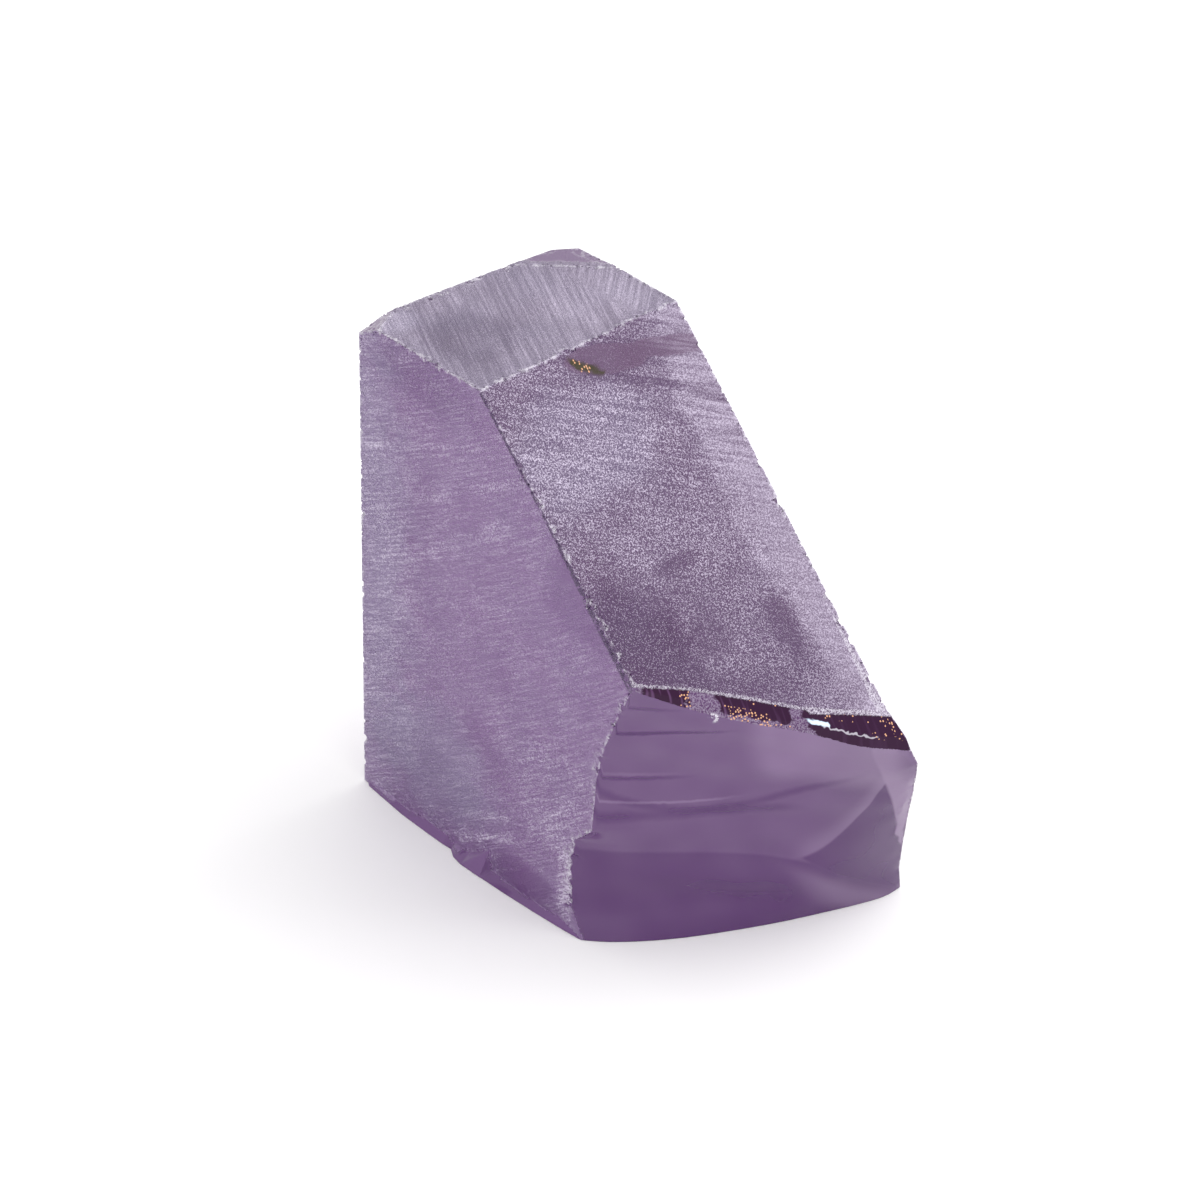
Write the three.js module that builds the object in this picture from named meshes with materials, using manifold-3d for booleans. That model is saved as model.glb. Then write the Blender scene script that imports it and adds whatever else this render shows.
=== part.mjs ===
// A rough block of purple sapphire: a slab with two parallel sawn faces, a sawn back, a low sawn
// top, a long sawn slope in front, and under the slope a hollow glassy break down to the foot.
// Millimetres, +Z up. The origin is at the middle of the block's footprint, on its flat base.
// X runs from the sawn back to the break, Y from the left sawn face to the right one.

import * as THREE from 'three';
import { mergeVertices } from 'three/addons/utils/BufferGeometryUtils.js';
import Module from 'manifold-3d';

const wasm = await Module();
wasm.setup();

// Driving sizes
const height = 20;
const length = 19;
const slab = 8.6;                     // between the two sawn side faces
const rightLip = 1.9;                 // how far the break under the right face leans out
const leftLip = 0.5;                  // how far the broken base of the left face stands out
const width = leftLip + slab + rightLip;
const ridgeFromBack = 6.63;           // where the top meets the slope
const topPitch = 5;                   // degrees, the top falls to the back
const slopePitch = 43.6;              // degrees, the slope falls to the front
const backSkew = 4.5;                 // degrees, the back cut isn't square to the sides
const rippleHeight = 0.05;            // of the shell-like ripples on the break
const hollowDepth = 0.45;             // how far the middle of the break is hollowed
const ledgeReach = 0.16;              // of the ledge that splits the glassy strip above the break
const room = 40;                      // size of a cutting block, larger than the stone

const leftY = leftLip - width / 2;
const backX = -length / 2;
const radians = THREE.MathUtils.degToRad;
const clamp = THREE.MathUtils.clamp;
const lerp = THREE.MathUtils.lerp;
const tanSlope = Math.tan(radians(slopePitch));
const tanTop = Math.tan(radians(topPitch));

// A point by its distances from the back cut, the left face and the base
const at = (fromBack, fromLeft, z) => new THREE.Vector3(backX + fromBack, leftY + fromLeft, z);

// The heights of the sawn slope and of the sawn top at a distance from the back
const slopeHeight = (fromBack) => height - (fromBack - ridgeFromBack) * tanSlope;
const topHeight = (fromBack) => height - (ridgeFromBack - fromBack) * tanTop;

// A closed solid from a three.js geometry
function solid(geometry) {
  const bare = geometry.index ? geometry.toNonIndexed() : geometry;
  bare.deleteAttribute('normal');
  bare.deleteAttribute('uv');
  const merged = mergeVertices(bare, 1e-5);
  return new wasm.Manifold(new wasm.Mesh({
    numProp: 3,
    vertProperties: new Float32Array(merged.attributes.position.array),
    triVerts: new Uint32Array(merged.index.array),
  }));
}

// All that lies beyond a plane through a point, as a block to cut away
function beyond(point, normal) {
  const block = new THREE.BoxGeometry(room, room, room);
  block.translate(0, 0, room / 2);
  const upward = new THREE.Vector3(0, 0, 1);
  block.applyQuaternion(new THREE.Quaternion().setFromUnitVectors(upward, normal.normalize()));
  block.translate(point.x, point.y, point.z);
  return solid(block);
}

// A box whose grid of points is moved by a function of its three fractions from 0 to 1
function shapedBox(countX, countY, countZ, move) {
  const box = new THREE.BoxGeometry(1, 1, 1, countX, countY, countZ);
  const places = box.attributes.position;
  for (let i = 0; i < places.count; i += 1) {
    const moved = move(places.getX(i) + 0.5, places.getY(i) + 0.5, places.getZ(i) + 0.5);
    places.setXYZ(i, moved.x, moved.y, moved.z);
  }
  return solid(box);
}

// A place along a chain of points, with its end stretches carried on outside 0 to 1
function along(points, t) {
  const reach = t * (points.length - 1);
  const start = Math.min(Math.max(Math.floor(reach), 0), points.length - 2);
  return points[start].clone().lerp(points[start + 1], reach - start);
}

// The same chain with its corners rounded
function smooth(points, count) {
  return new THREE.CatmullRomCurve3(points, false, 'centripetal').getSpacedPoints(count);
}

// A repeatable run of numbers from 0 to 1, so that the chips are the same each time
function dice(seed) {
  let state = seed;
  return () => {
    state = (state * 48271) % 2147483647;
    return state / 2147483647;
  };
}

// The sawn block: a box trimmed by each saw cut
function sawnBlock() {
  const top = new THREE.Vector3(-Math.sin(radians(topPitch)), 0, Math.cos(radians(topPitch)));
  const slope = new THREE.Vector3(Math.sin(radians(slopePitch)), 0, Math.cos(radians(slopePitch)));
  const back = new THREE.Vector3(-Math.cos(radians(backSkew)), Math.sin(radians(backSkew)), 0);
  const ridge = at(ridgeFromBack, 0, height);
  const lowFacet = new THREE.Vector3(-0.15, 0.07, 0.98);
  const cornerCut = new THREE.Vector3(-0.8, 0.55, 0.3);
  const nick = new THREE.Vector3(-0.5, -0.25, 0.85);
  const wornEdge = new THREE.Vector3(-0.75, 0.06, 0.7);
  const spareLength = 2;
  const box = new THREE.BoxGeometry(length + spareLength, slab + rightLip, height);
  box.translate(spareLength / 2, leftLip / 2, height / 2);
  return solid(box)
    .subtract(beyond(ridge, top))
    .subtract(beyond(ridge, slope))
    .subtract(beyond(at(0, 0, 0), back))
    // a low facet at the back right corner of the top, and the corner itself cut off
    .subtract(beyond(at(2.05, 7.3, topHeight(2.05)), lowFacet))
    .subtract(beyond(at(1.05, 8.2, topHeight(1.1)), cornerCut))
    // the nicked corner at the other end of the same edge, and the worn edge between them
    .subtract(beyond(at(0, 0, topHeight(0) - 0.55), nick))
    .subtract(beyond(at(0.36, 2, topHeight(0.36)), wornEdge));
}

// The right side: a sawn face above, and below it a long break that leans out to the base.
// The break starts where the slope ends in front and at the base behind.
const lipTop = 9.17;
const lipFront = 18.05;
const lipFoot = 16.58;
const lipLean = rightLip / lipFoot;

function lipReach(fromBack, z) {
  const out = fromBack - (lipFront * z) / lipTop;
  return out > 0 ? out * lipLean : 0;
}

function rightSide() {
  const spare = 2;
  return shapedBox(12, 1, 12, (x, y, z) => {
    const fromBack = lerp(-spare, length + spare, x);
    // each row of points bends on the crease itself
    const crease = (lipTop * Math.max(fromBack, 0)) / lipFront;
    const up = z < 0.5 ? lerp(-spare, crease, z * 2) : lerp(crease, height + spare, z * 2 - 1);
    const side = slab + lipReach(fromBack, up);
    return at(fromBack, y > 0 ? width : side, up);
  });
}

// The break in front, bounded by four lines: its foot, its upper rim, and its left and right ends
const foot = smooth([
  at(12.05, 0, 0), at(12.73, 0.66, 0), at(13.92, 2.38, 0), at(15.21, 5.1, 0),
  at(16.0, 7.27, 0), at(16.69, 9.8, 0), at(16.6, 10.5, 0),
], 24);
const rim = smooth([
  at(14.76, 0, 12.05), at(15.3, 1.12, 11.35), at(16.15, 2.75, 10.45),
  at(17.48, 5.7, 9.17), at(18.18, 7.27, 8.33), at(18.8, 8.99, 7.76),
], 24);
const leftEnd = [
  at(12.05, 0, 0), at(11.5, 0, 0.88), at(11.45, 0, 2.82), at(11.67, 0, 4.09),
  at(12.6, 0, 4.9), at(12.82, 0, 7.19), at(13.3, 0, 8.89), at(14.06, 0, 10.57), at(14.76, 0, 12.05),
];
const rightEnd = [
  at(16.6, 10.5, 0), at(16.78, 10.26, 1.02), at(17.32, 9.95, 2.62), at(18.11, 9.6, 4.8),
  at(18.66, 9.35, 6.17), at(19.05, 9.2, 7.25), at(18.8, 8.99, 7.76),
];
// where the slope breaks off, from the left face to the right one
const slopeEnd = [
  [14.7, 0], [15.5, 2.22], [16.32, 4.09], [17.03, 5.63], [17.54, 7.06], [18.05, 8.6],
].map(([fromBack, fromLeft]) => at(fromBack, fromLeft, slopeHeight(fromBack)));

// Shell-like ripples of the break, which fade at its foot and rim and curve up to the right
function ripple(u, v) {
  const ring = v - 0.42 * Math.max(u - 0.45, 0) ** 2;
  const fade = Math.min(1, 4 * v, 6 * (1 - v));
  return rippleHeight * fade * Math.sin(34 * ring);
}

// Three folds stand out from the break, each a line between two places on it, like a low tent:
// one above the foot, one that rises from it to the right end, and one beside the right end
const folds = [
  { from: [0.1, 0.33], to: [0.72, 0.24], spread: 0.11, reach: 0.3 },
  { from: [0.72, 0.24], to: [0.95, 0.55], spread: 0.14, reach: 0.4 },
  { from: [0.95, 0.92], to: [0.94, 0.5], spread: 0.07, reach: 0.25 },
];

function foldReach(u, v, { from, to, spread, reach }) {
  const line = new THREE.Line3(new THREE.Vector3(...from), new THREE.Vector3(...to));
  const place = new THREE.Vector3(u, v, 0);
  const nearest = line.closestPointToPoint(place, true, new THREE.Vector3());
  return reach * Math.max(0, 1 - place.distanceTo(nearest) / spread);
}

// How far the break stands out from the plain surface between its four lines
function relief(u, v) {
  const across = clamp(u, 0, 1);
  const upward = clamp(v, 0, 1);
  const inside = Math.min(1, 9 * across, 9 * (1 - across));
  const hollow = -hollowDepth * Math.sin(Math.PI * across) * Math.sin(Math.PI * upward);
  const folded = folds.reduce((sum, fold) => sum + foldReach(u, v, fold), 0);
  return hollow + inside * (folded + ripple(u, v));
}

// How far one end of the break bows out from the straight line between its two ends
function bow(end, v) {
  return along(end, v).sub(end[0].clone().lerp(end[end.length - 1], v));
}

function breakPoint(u, v) {
  const inner = clamp(u, 0, 1);
  const place = along(foot, u).lerp(along(rim, u), v);
  place.addScaledVector(bow(leftEnd, v), (1 - inner) ** 3);
  place.addScaledVector(bow(rightEnd, v), inner ** 4);
  place.x += relief(u, v);
  return place;
}

// The narrow glassy strip between the slope and the break, with a ledge that is widest on the right
function stripPoint(u, drop) {
  const upper = along(slopeEnd, u);
  const lower = along(rim, u);
  const place = upper.lerp(lower, drop);
  const onLedge = drop > 0.4 && drop < 0.7;
  const ledge = u > 0.6 ? ledgeReach : 0.4 * ledgeReach;
  place.x += onLedge ? ledge : 0;
  return place;
}

// What was lost in front of the break and the strip
function lostFront() {
  const breakRows = 24;
  const stripRows = [1, 0.62, 0.5, 0];
  const rows = 1 + breakRows + stripRows.length;
  const columns = 36;
  const sideSpare = 0.08;
  return shapedBox(1, columns, rows, (x, y, z) => {
    const u = lerp(-sideSpare, 1 + sideSpare, y);
    const row = Math.round(z * rows);
    let place;
    if (row === 0) {
      place = breakPoint(u, 0).setZ(-1);
    } else if (row <= breakRows) {
      place = breakPoint(u, (row - 1) / breakRows);
    } else if (row < rows) {
      place = stripPoint(u, stripRows[row - breakRows - 1]);
    } else {
      // carried on above the slope, in line with the strip
      place = along(slopeEnd, u).lerp(along(rim, u), -4);
    }
    if (x > 0) {
      place.x = length;
    }
    return place;
  });
}

// Damage just under the ridge: two smooth scallops, and a small pit of two hollows at their left
// end. Each is a round lump sunk into the slope: down it, from the left face, and lifted off it.
const scallops = [
  { down: 0.35, fromLeft: 7.0, lift: 0.55, size: [1.35, 2.4, 0.72], turn: -24 },
  { down: 0.35, fromLeft: 4.6, lift: 0.3, size: [0.62, 1.5, 0.42], turn: 12 },
  { down: 0.72, fromLeft: 4.05, lift: 0.02, size: [0.3, 0.52, 0.34], turn: 20 },
  { down: 0.55, fromLeft: 3.62, lift: 0.04, size: [0.22, 0.34, 0.24], turn: -10 },
];

function scallop({ down, fromLeft, lift, size, turn }) {
  const lump = new THREE.IcosahedronGeometry(1, 2);
  lump.scale(...size);
  lump.rotateZ(radians(turn));
  lump.translate(down, 0, lift);
  lump.rotateY(radians(slopePitch));
  const ridge = at(ridgeFromBack, fromLeft, height);
  lump.translate(ridge.x, ridge.y, ridge.z);
  return solid(lump);
}

// The saw stopped just short of the base on the left face: the rest broke off and left a low lip,
// in two stretches with a step between them. Each stop gives the distance from the back, how high
// the lip starts on the face, and how far it stands out at the base.
const baseStops = [
  [0.3, 0.06, 0.1], [2.4, 0.14, 0.26], [3.6, 0.3, 0.26], [4.7, 0.3, 0.24], [5.1, 0.05, 0.2],
  [5.5, 0.1, 0.42], [6.0, 0.37, leftLip], [7.0, 0.93, 0.46], [7.2, 0.2, 0.44], [8.3, 0.12, 0.38],
  [9.8, 0.2, 0.26], [11.2, 0.3, 0.12], [12.0, 0.12, 0.02],
];

function brokenBase() {
  const insideStone = 1;
  return shapedBox(baseStops.length - 1, 1, 1, (x, y, z) => {
    const [fromBack, start, reach] = baseStops[Math.round(x * (baseStops.length - 1))];
    if (y > 0) {
      return at(fromBack, insideStone, z * start);
    }
    return at(fromBack, z > 0 ? 0.01 : -reach, z * start);
  });
}

// Bites along an edge, each a small rough lump taken out of it
function bites(from, to, count, size, random) {
  const lumps = [];
  for (let i = 0; i < count; i += 1) {
    const place = from.clone().lerp(to, (i + 0.15 + 0.7 * random()) / count);
    const reach = size * (0.5 + random());
    const lump = new THREE.OctahedronGeometry(reach, 0);
    lump.scale(0.8 + 0.5 * random(), 0.9 + 0.8 * random(), 0.6 + 0.5 * random());
    lump.rotateX(6 * random());
    lump.rotateZ(6 * random());
    lump.translate(place.x, place.y, place.z);
    lumps.push(solid(lump));
  }
  return lumps;
}

// The chipped edges: where each starts and ends, how many bites it has and how large they are
function edgeBites() {
  const random = dice(4931);
  const nickEnd = at(1, 0, topHeight(1));
  const ridgeLeft = at(ridgeFromBack, 0, height);
  const ridgeRight = at(ridgeFromBack, slab, height);
  const slopeFoot = slopeEnd[0];
  const slopeTip = slopeEnd[slopeEnd.length - 1];
  const backRightX = slab * Math.tan(radians(backSkew));
  return [
    ...bites(nickEnd, ridgeLeft, 8, 0.13, random),
    ...bites(ridgeLeft, ridgeRight, 10, 0.15, random),
    ...bites(ridgeLeft, slopeFoot, 18, 0.15, random),
    ...bites(ridgeRight, slopeTip, 16, 0.16, random),
    ...bites(at(0.55, 1.2, topHeight(0.5)), at(0.8, 6.9, topHeight(0.8)), 7, 0.12, random),
    ...bites(at(0, 0, 0.5), at(0, 0, height - 1.4), 11, 0.13, random),
    ...bites(at(backRightX, slab, 0.5), at(backRightX, slab, height - 2.4), 9, 0.15, random),
    ...bites(at(12.85, 0, 7.6), at(14.4, 0, 11.3), 7, 0.18, random),
    ...bites(at(11.5, 0, 0.9), at(11.7, 0, 4.1), 6, 0.18, random),
  ];
}

// A mesh from a closed solid, with flat faces
function faceted(body) {
  const { vertProperties, triVerts } = body.getMesh();
  const geometry = new THREE.BufferGeometry();
  geometry.setAttribute('position', new THREE.BufferAttribute(new Float32Array(vertProperties), 3));
  geometry.setIndex(new THREE.BufferAttribute(new Uint32Array(triVerts), 1));
  geometry.computeVertexNormals();
  return geometry;
}

let stone = sawnBlock()
  .subtract(rightSide())
  .add(brokenBase())
  .subtract(lostFront());
for (const lump of [...scallops.map(scallop), ...edgeBites()]) {
  stone = stone.subtract(lump);
}

const purple = new THREE.MeshStandardMaterial({
  color: 0x8a6f98,
  roughness: 0.45,
  metalness: 0,
  flatShading: true,
});
const block = new THREE.Mesh(faceted(stone), purple);
block.name = 'sapphire_block';

const group = new THREE.Group();
group.add(block);

export default group;
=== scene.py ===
import math

import bpy
import numpy as np
from mathutils import Matrix, Vector, kdtree, noise


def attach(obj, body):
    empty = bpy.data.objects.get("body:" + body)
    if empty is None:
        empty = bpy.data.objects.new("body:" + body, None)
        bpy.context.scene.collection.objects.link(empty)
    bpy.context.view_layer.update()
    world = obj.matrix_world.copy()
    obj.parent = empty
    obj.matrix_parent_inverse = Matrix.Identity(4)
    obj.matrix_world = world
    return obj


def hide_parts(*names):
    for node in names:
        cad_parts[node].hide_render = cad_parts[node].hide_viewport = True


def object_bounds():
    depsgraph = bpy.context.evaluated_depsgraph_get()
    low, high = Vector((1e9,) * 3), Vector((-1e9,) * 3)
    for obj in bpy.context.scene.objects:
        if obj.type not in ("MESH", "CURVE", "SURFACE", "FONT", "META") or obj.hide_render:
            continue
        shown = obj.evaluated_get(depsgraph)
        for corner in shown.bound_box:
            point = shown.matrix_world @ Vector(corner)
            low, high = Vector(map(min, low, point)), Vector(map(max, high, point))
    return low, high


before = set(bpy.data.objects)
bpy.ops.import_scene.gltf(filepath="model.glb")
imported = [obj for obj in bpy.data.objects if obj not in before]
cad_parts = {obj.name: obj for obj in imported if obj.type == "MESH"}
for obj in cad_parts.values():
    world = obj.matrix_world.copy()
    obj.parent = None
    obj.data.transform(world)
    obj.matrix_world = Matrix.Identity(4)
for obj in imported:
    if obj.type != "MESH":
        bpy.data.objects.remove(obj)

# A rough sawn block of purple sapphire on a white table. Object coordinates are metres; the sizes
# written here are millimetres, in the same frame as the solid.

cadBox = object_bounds()
mm = 0.001


# Helpers for the mesh

def pickOnly(piece):
    bpy.ops.object.select_all(action="DESELECT")
    piece.select_set(True)
    bpy.context.view_layer.objects.active = piece


def applyModifier(piece, kind, **settings):
    pickOnly(piece)
    modifier = piece.modifiers.new(kind.title(), kind)
    for name, value in settings.items():
        setattr(modifier, name, value)
    bpy.ops.object.modifier_apply(modifier=modifier.name)


def readPlaces(piece):  # in millimetres
    places = np.empty(len(piece.data.vertices) * 3)
    piece.data.vertices.foreach_get("co", places)
    return places.reshape(-1, 3) / mm


def readNormals(piece):
    normals = np.empty(len(piece.data.vertices) * 3)
    piece.data.vertices.foreach_get("normal", normals)
    return normals.reshape(-1, 3)


def writePlaces(piece, places):
    piece.data.vertices.foreach_set("co", (places * mm).ravel())
    piece.data.update()


def selectVertices(piece, wanted):
    pickOnly(piece)
    bpy.ops.object.mode_set(mode="EDIT")
    bpy.ops.mesh.select_mode(type="VERT")
    bpy.ops.mesh.select_all(action="DESELECT")
    bpy.ops.object.mode_set(mode="OBJECT")
    piece.data.vertices.foreach_set("select", wanted.astype(bool))
    bpy.ops.object.mode_set(mode="EDIT")
    bpy.ops.mesh.select_mode(type="VERT")


def keepMask(piece, name, values):
    mask = piece.data.attributes.new(name, "FLOAT", "POINT")
    mask.data.foreach_set("value", np.asarray(values, dtype=np.float32))


def fade(values, start, end):  # 0 before start, 1 past end
    t = np.clip((values - start) / (end - start), 0, 1)
    return t * t * (3 - 2 * t)


def lumps(places, size, seed=0):  # soft noise from -1 to 1
    moved = places / size + seed * 17.31
    return np.array([noise.noise(place) for place in moved])


def blocks(places, size, seed=0):  # one number from 0 to 1 for each small random cell
    moved = places / size + seed * 17.31
    return np.array([noise.cell(noise.voronoi(place)[1][0] * 7.13) for place in moved])


# The stone's own cuts, each a place on it and the way it faces

stoneSize = {
    "height": 20,
    "back": -9.5,           # where the back cut meets the left face
    "left": -5.0,
    "right": 3.6,
    "ridge": -2.87,         # where the top meets the slope
    "topPitch": 5,          # degrees
    "slopePitch": 43.6,
    "backSkew": 4.5,
    "lipLean": 0.1146,      # how the break under the right face leans out along the stone
    "lipFall": 0.2257,      # and down it
}


def sawCuts():
    size = stoneSize
    pitch, slope, skew = (math.radians(size[name]) for name in ("topPitch", "slopePitch", "backSkew"))
    ridge = (size["ridge"], 0, size["height"])
    corner = (size["back"], size["left"], 0)
    cuts = {
        "leftFace": (corner, (0, -1, 0)),
        "rightFace": ((0, size["right"], 0), (0, 1, 0)),
        "backFace": (corner, (-math.cos(skew), math.sin(skew), 0)),
        "baseFace": (corner, (0, 0, -1)),
        "topFace": (ridge, (-math.sin(pitch), 0, math.cos(pitch))),
        "slopeFace": (ridge, (math.sin(slope), 0, math.cos(slope))),
        "lipFace": ((size["back"], size["right"], 0),
                    Vector((-size["lipLean"], 1, size["lipFall"])).normalized()),
    }
    return {name: (np.array(place), np.array(way)) for name, (place, way) in cuts.items()}


cuts = sawCuts()


def above(places, name):  # how far outside a cut, in millimetres
    place, way = cuts[name]
    return (places - place) @ way


# The stone: the solid's shape in a fine mesh, with ragged edges and a smooth break

stoneShape = {
    "mergeWithin": 0.0001,  # mm
    "lipCut": 0.002,        # mm inside the left face, where its lip is cut off
    "fineness": 7,          # the remesh's octree depth
    "remeshScale": 0.95,
    "edgeBand": 0.22,       # mm beside an edge where the mesh is made finer
    "chipReach": 0.2,       # mm from an edge
    "chipDepth": 0.11,
    "chipSize": 0.16,
    "chipStop": 0.3,        # share of the strip's height over it, where the chips stop
    "bittenWithin": 0.35,   # mm from an edge, where a place off the faces counts as bitten away
    "bittenAbove": 1,
    "flatWithin": 0.03,     # mm, how near to a cut a place counts as on it
    "scoopDepth": 0.15,     # share of the solid's scoops that is left under the ridge
    "breakSmooth": 22,      # rounds of smoothing on the break
    "foldSmooth": 150,      # more of them on its folds
    "scoopSmooth": 30,
    "smoothFrom": 0.06,     # mm from an edge, where the smoothing starts
    "foldFrom": 0.3,
    "foldSide": 5.5,        # the folds are further from the left face than this
    "foldBelow": 6,
    "chipFrom": 0.3,        # mm up from the base
    "raggedEnd": 0.16,
    "raggedFrom": (0.93, 0.99),  # across the break
    "insideBox": 0.002,     # mm, how far the stone stays inside the solid's box
    "smoothAngle": 35,      # degrees, flatter edges than this are shaded smooth
}
# the ripples of the breaks: how many over the front one's height and how they bend, and for the one
# under the right face the place that they run round and how close they are
rippleShape = {
    "height": 0.035,
    "count": 34,
    "wander": 1.5,
    "wanderSize": 3,
    "bendFrom": 0.45,
    "bend": 0.42,
    "rightMiddle": (8.2, 4, 9.5),
    "rightCount": 2.9,
    "rightWander": 1.2,
    "rightWanderSize": 3.5,
    "rightShare": 0.5,      # of the height
    "edgeCalm": (0.1, 0.8),         # mm from an edge, where they start
    "rightEdgeCalm": (0.15, 1.2),
    "acrossCalm": (0.55, 0.75),     # and none past this across and below this up the break
    "upCalm": (0.7, 0.5),
}
# where the parts of the surface are told apart, in mm
stoneParts = {
    "onLine": 0.01,         # nearer than this counts as on a line or a cut
    "lipBelow": 1.1,        # the left face's lip is lower than this
    "stripAhead": 4.9,      # the strip is further to the front than this
    "stripSpare": 0.03,
    "breakAhead": 1,
    "scoopsAbove": 17.5,    # the scoops are higher than this
    "scoopsDeepest": 0.9,
    "scoopsFrom": -3.3,     # from the back to the front
    "scoopsTo": -0.5,
    "scoopsMiddle": 5.5,    # from the left face
    "scoopsReach": 3.6,
    "facing": 0.3,          # how much a place on a cut must face its way
    "baseFacing": 0.95,     # a place on the base that faces down less than this is on its edge
    "pointGap": 0.05,       # between the points along an edge
    "baseBand": 0.3,        # the edges lower than this aren't made finer
    "finerBand": 0.1,       # how much further the first round of finer faces and the lip's reach
    "lipWithin": 0.02,      # nearer to the left face than this is drawn out for the lip
}
# the broken lip along the base of the left face: how far from the back, how high it starts on the
# face, and how far it stands out at the base
lipStops = [
    (0.3, 0.06, 0.1), (2.4, 0.14, 0.26), (3.6, 0.3, 0.26), (4.7, 0.3, 0.24), (5.1, 0.05, 0.2),
    (5.5, 0.1, 0.42), (6.0, 0.37, 0.5), (7.0, 0.93, 0.46), (7.2, 0.2, 0.44), (8.3, 0.12, 0.38),
    (9.8, 0.2, 0.26), (11.2, 0.3, 0.12), (12.0, 0.12, 0.02),
]
# how far the break's right end is from the left face, by its height
breakRight = [(0, 10.5), (1.02, 10.26), (2.62, 9.95), (4.8, 9.6), (6.17, 9.35), (7.76, 8.99)]
# roughly where the glassy strip ends below: the height by the distance from the left face
stripFoot = [(0, 12.05), (1.12, 11.35), (2.75, 10.45), (5.7, 9.17), (7.27, 8.33), (8.99, 7.76)]


def fromLeft(places):
    return places[..., 1] - stoneSize["left"]


def readEdges(solid):
    # the borders between the cuts, the strip and the breaks of the solid, as points along them,
    # and the strip's upper and lower ones as heights by the distance from the left face
    parts = stoneParts
    mesh = solid.data
    corners = np.array([[mesh.vertices[i].co / mm for i in face.vertices] for face in mesh.polygons])
    middle = corners.mean(axis=1)
    kinds = np.full(len(corners), "broken", dtype=object)
    strip = middle[:, 2] > np.interp(fromLeft(middle), *zip(*stripFoot)) + parts["stripSpare"]
    kinds[(middle[:, 0] > parts["stripAhead"]) & strip] = "strip"
    for name in cuts:
        kinds[np.abs(above(corners, name)).max(axis=1) < parts["onLine"]] = name
    borders = {}
    for face, kind in zip(corners, kinds):
        for i in range(3):
            ends = tuple(sorted((tuple(face[i].round(3)), tuple(face[(i + 1) % 3].round(3)))))
            borders.setdefault(ends, set()).add(kind)
    points, brow, rim = [], {}, {}
    for (start, end), beside in borders.items():
        soft = beside == {"slopeFace", "broken"} and start[2] > parts["scoopsAbove"]
        soft = soft or (beside == {"leftFace", "broken"} and start[2] < parts["lipBelow"])
        if len(beside) > 1 and not soft:
            start, end = np.array(start), np.array(end)
            count = int(np.linalg.norm(end - start) / parts["pointGap"]) + 2
            points += [start + (end - start) * t for t in np.linspace(0, 1, count)]
        for line, pair in ((rim, {"strip", "broken"}), (brow, {"strip", "slopeFace"})):
            if beside == pair:
                line.update({float(fromLeft(place)): place[2] for place in (start, end)})
    return points, sorted(brow.items()), sorted(rim.items())


def treeOf(points):
    tree = kdtree.KDTree(len(points))
    for number, point in enumerate(points):
        tree.insert(point, number)
    tree.balance()
    return tree


def distances(tree, places, reach=2.0):
    return np.array([min(tree.find(place)[2], reach) for place in places])


def regions(stone, brow, rim):
    # which places are on a cut, on the lip, on the strip, on the break and in the scoops
    parts = stoneParts
    places, normals = readPlaces(stone), readNormals(stone)
    on = {name: (np.abs(above(places, name)) < stoneShape["flatWithin"])
          & (normals @ cuts[name][1] > parts["facing"]) for name in cuts}
    on["lip"] = (above(places, "leftFace") > parts["onLine"]) & (places[:, 2] < parts["lipBelow"])
    on["leftFace"] &= ~on["lip"]
    loose = ~np.any(list(on.values()), axis=0)
    front = loose & (places[:, 0] > parts["breakAhead"]) & (above(places, "leftFace") < parts["onLine"])
    over = places[:, 2] > np.interp(fromLeft(places), *zip(*rim)) + parts["onLine"]
    under = places[:, 2] < np.interp(fromLeft(places), *zip(*brow)) + parts["stripSpare"]
    on["strip"] = front & over & under & (places[:, 0] > parts["stripAhead"])
    on["break"] = front & ~over
    on["scoop"] = loose & (places[:, 2] > parts["scoopsAbove"])
    on["scoop"] &= above(places, "slopeFace") > -parts["scoopsDeepest"]
    on["scoop"] &= np.abs(fromLeft(places) - parts["scoopsMiddle"]) < parts["scoopsReach"]
    on["scoop"] &= (places[:, 0] > parts["scoopsFrom"]) & (places[:, 0] < parts["scoopsTo"])
    return on


def lipAt(places):  # how high the lip starts and how far it stands out
    fromBack, start, reach = zip(*lipStops)
    where = places[:, 0] - stoneSize["back"]
    return np.interp(where, fromBack, start), np.interp(where, fromBack, reach, left=0, right=0)


def growStone():
    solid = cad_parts["sapphire_block"]
    stone = bpy.data.objects.new("sapphire_stone", solid.data.copy())
    bpy.context.collection.objects.link(stone)
    stone.data.materials.clear()
    pickOnly(stone)
    bpy.ops.object.mode_set(mode="EDIT")
    bpy.ops.mesh.select_all(action="SELECT")
    bpy.ops.mesh.remove_doubles(threshold=stoneShape["mergeWithin"] * mm)
    # the left face's thin lip is cut off, a hair inside the face, and drawn out of the fine mesh later
    bpy.ops.mesh.bisect(plane_co=(0, (stoneSize["left"] + stoneShape["lipCut"]) * mm, 0),
                        plane_no=(0, -1, 0), clear_outer=True, use_fill=True,
                        threshold=stoneShape["mergeWithin"] * mm)
    bpy.ops.object.mode_set(mode="OBJECT")
    applyModifier(stone, "REMESH", mode="SHARP", octree_depth=stoneShape["fineness"],
                  scale=stoneShape["remeshScale"], use_remove_disconnected=False)
    print("remeshed", len(stone.data.vertices))
    return stone


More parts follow.
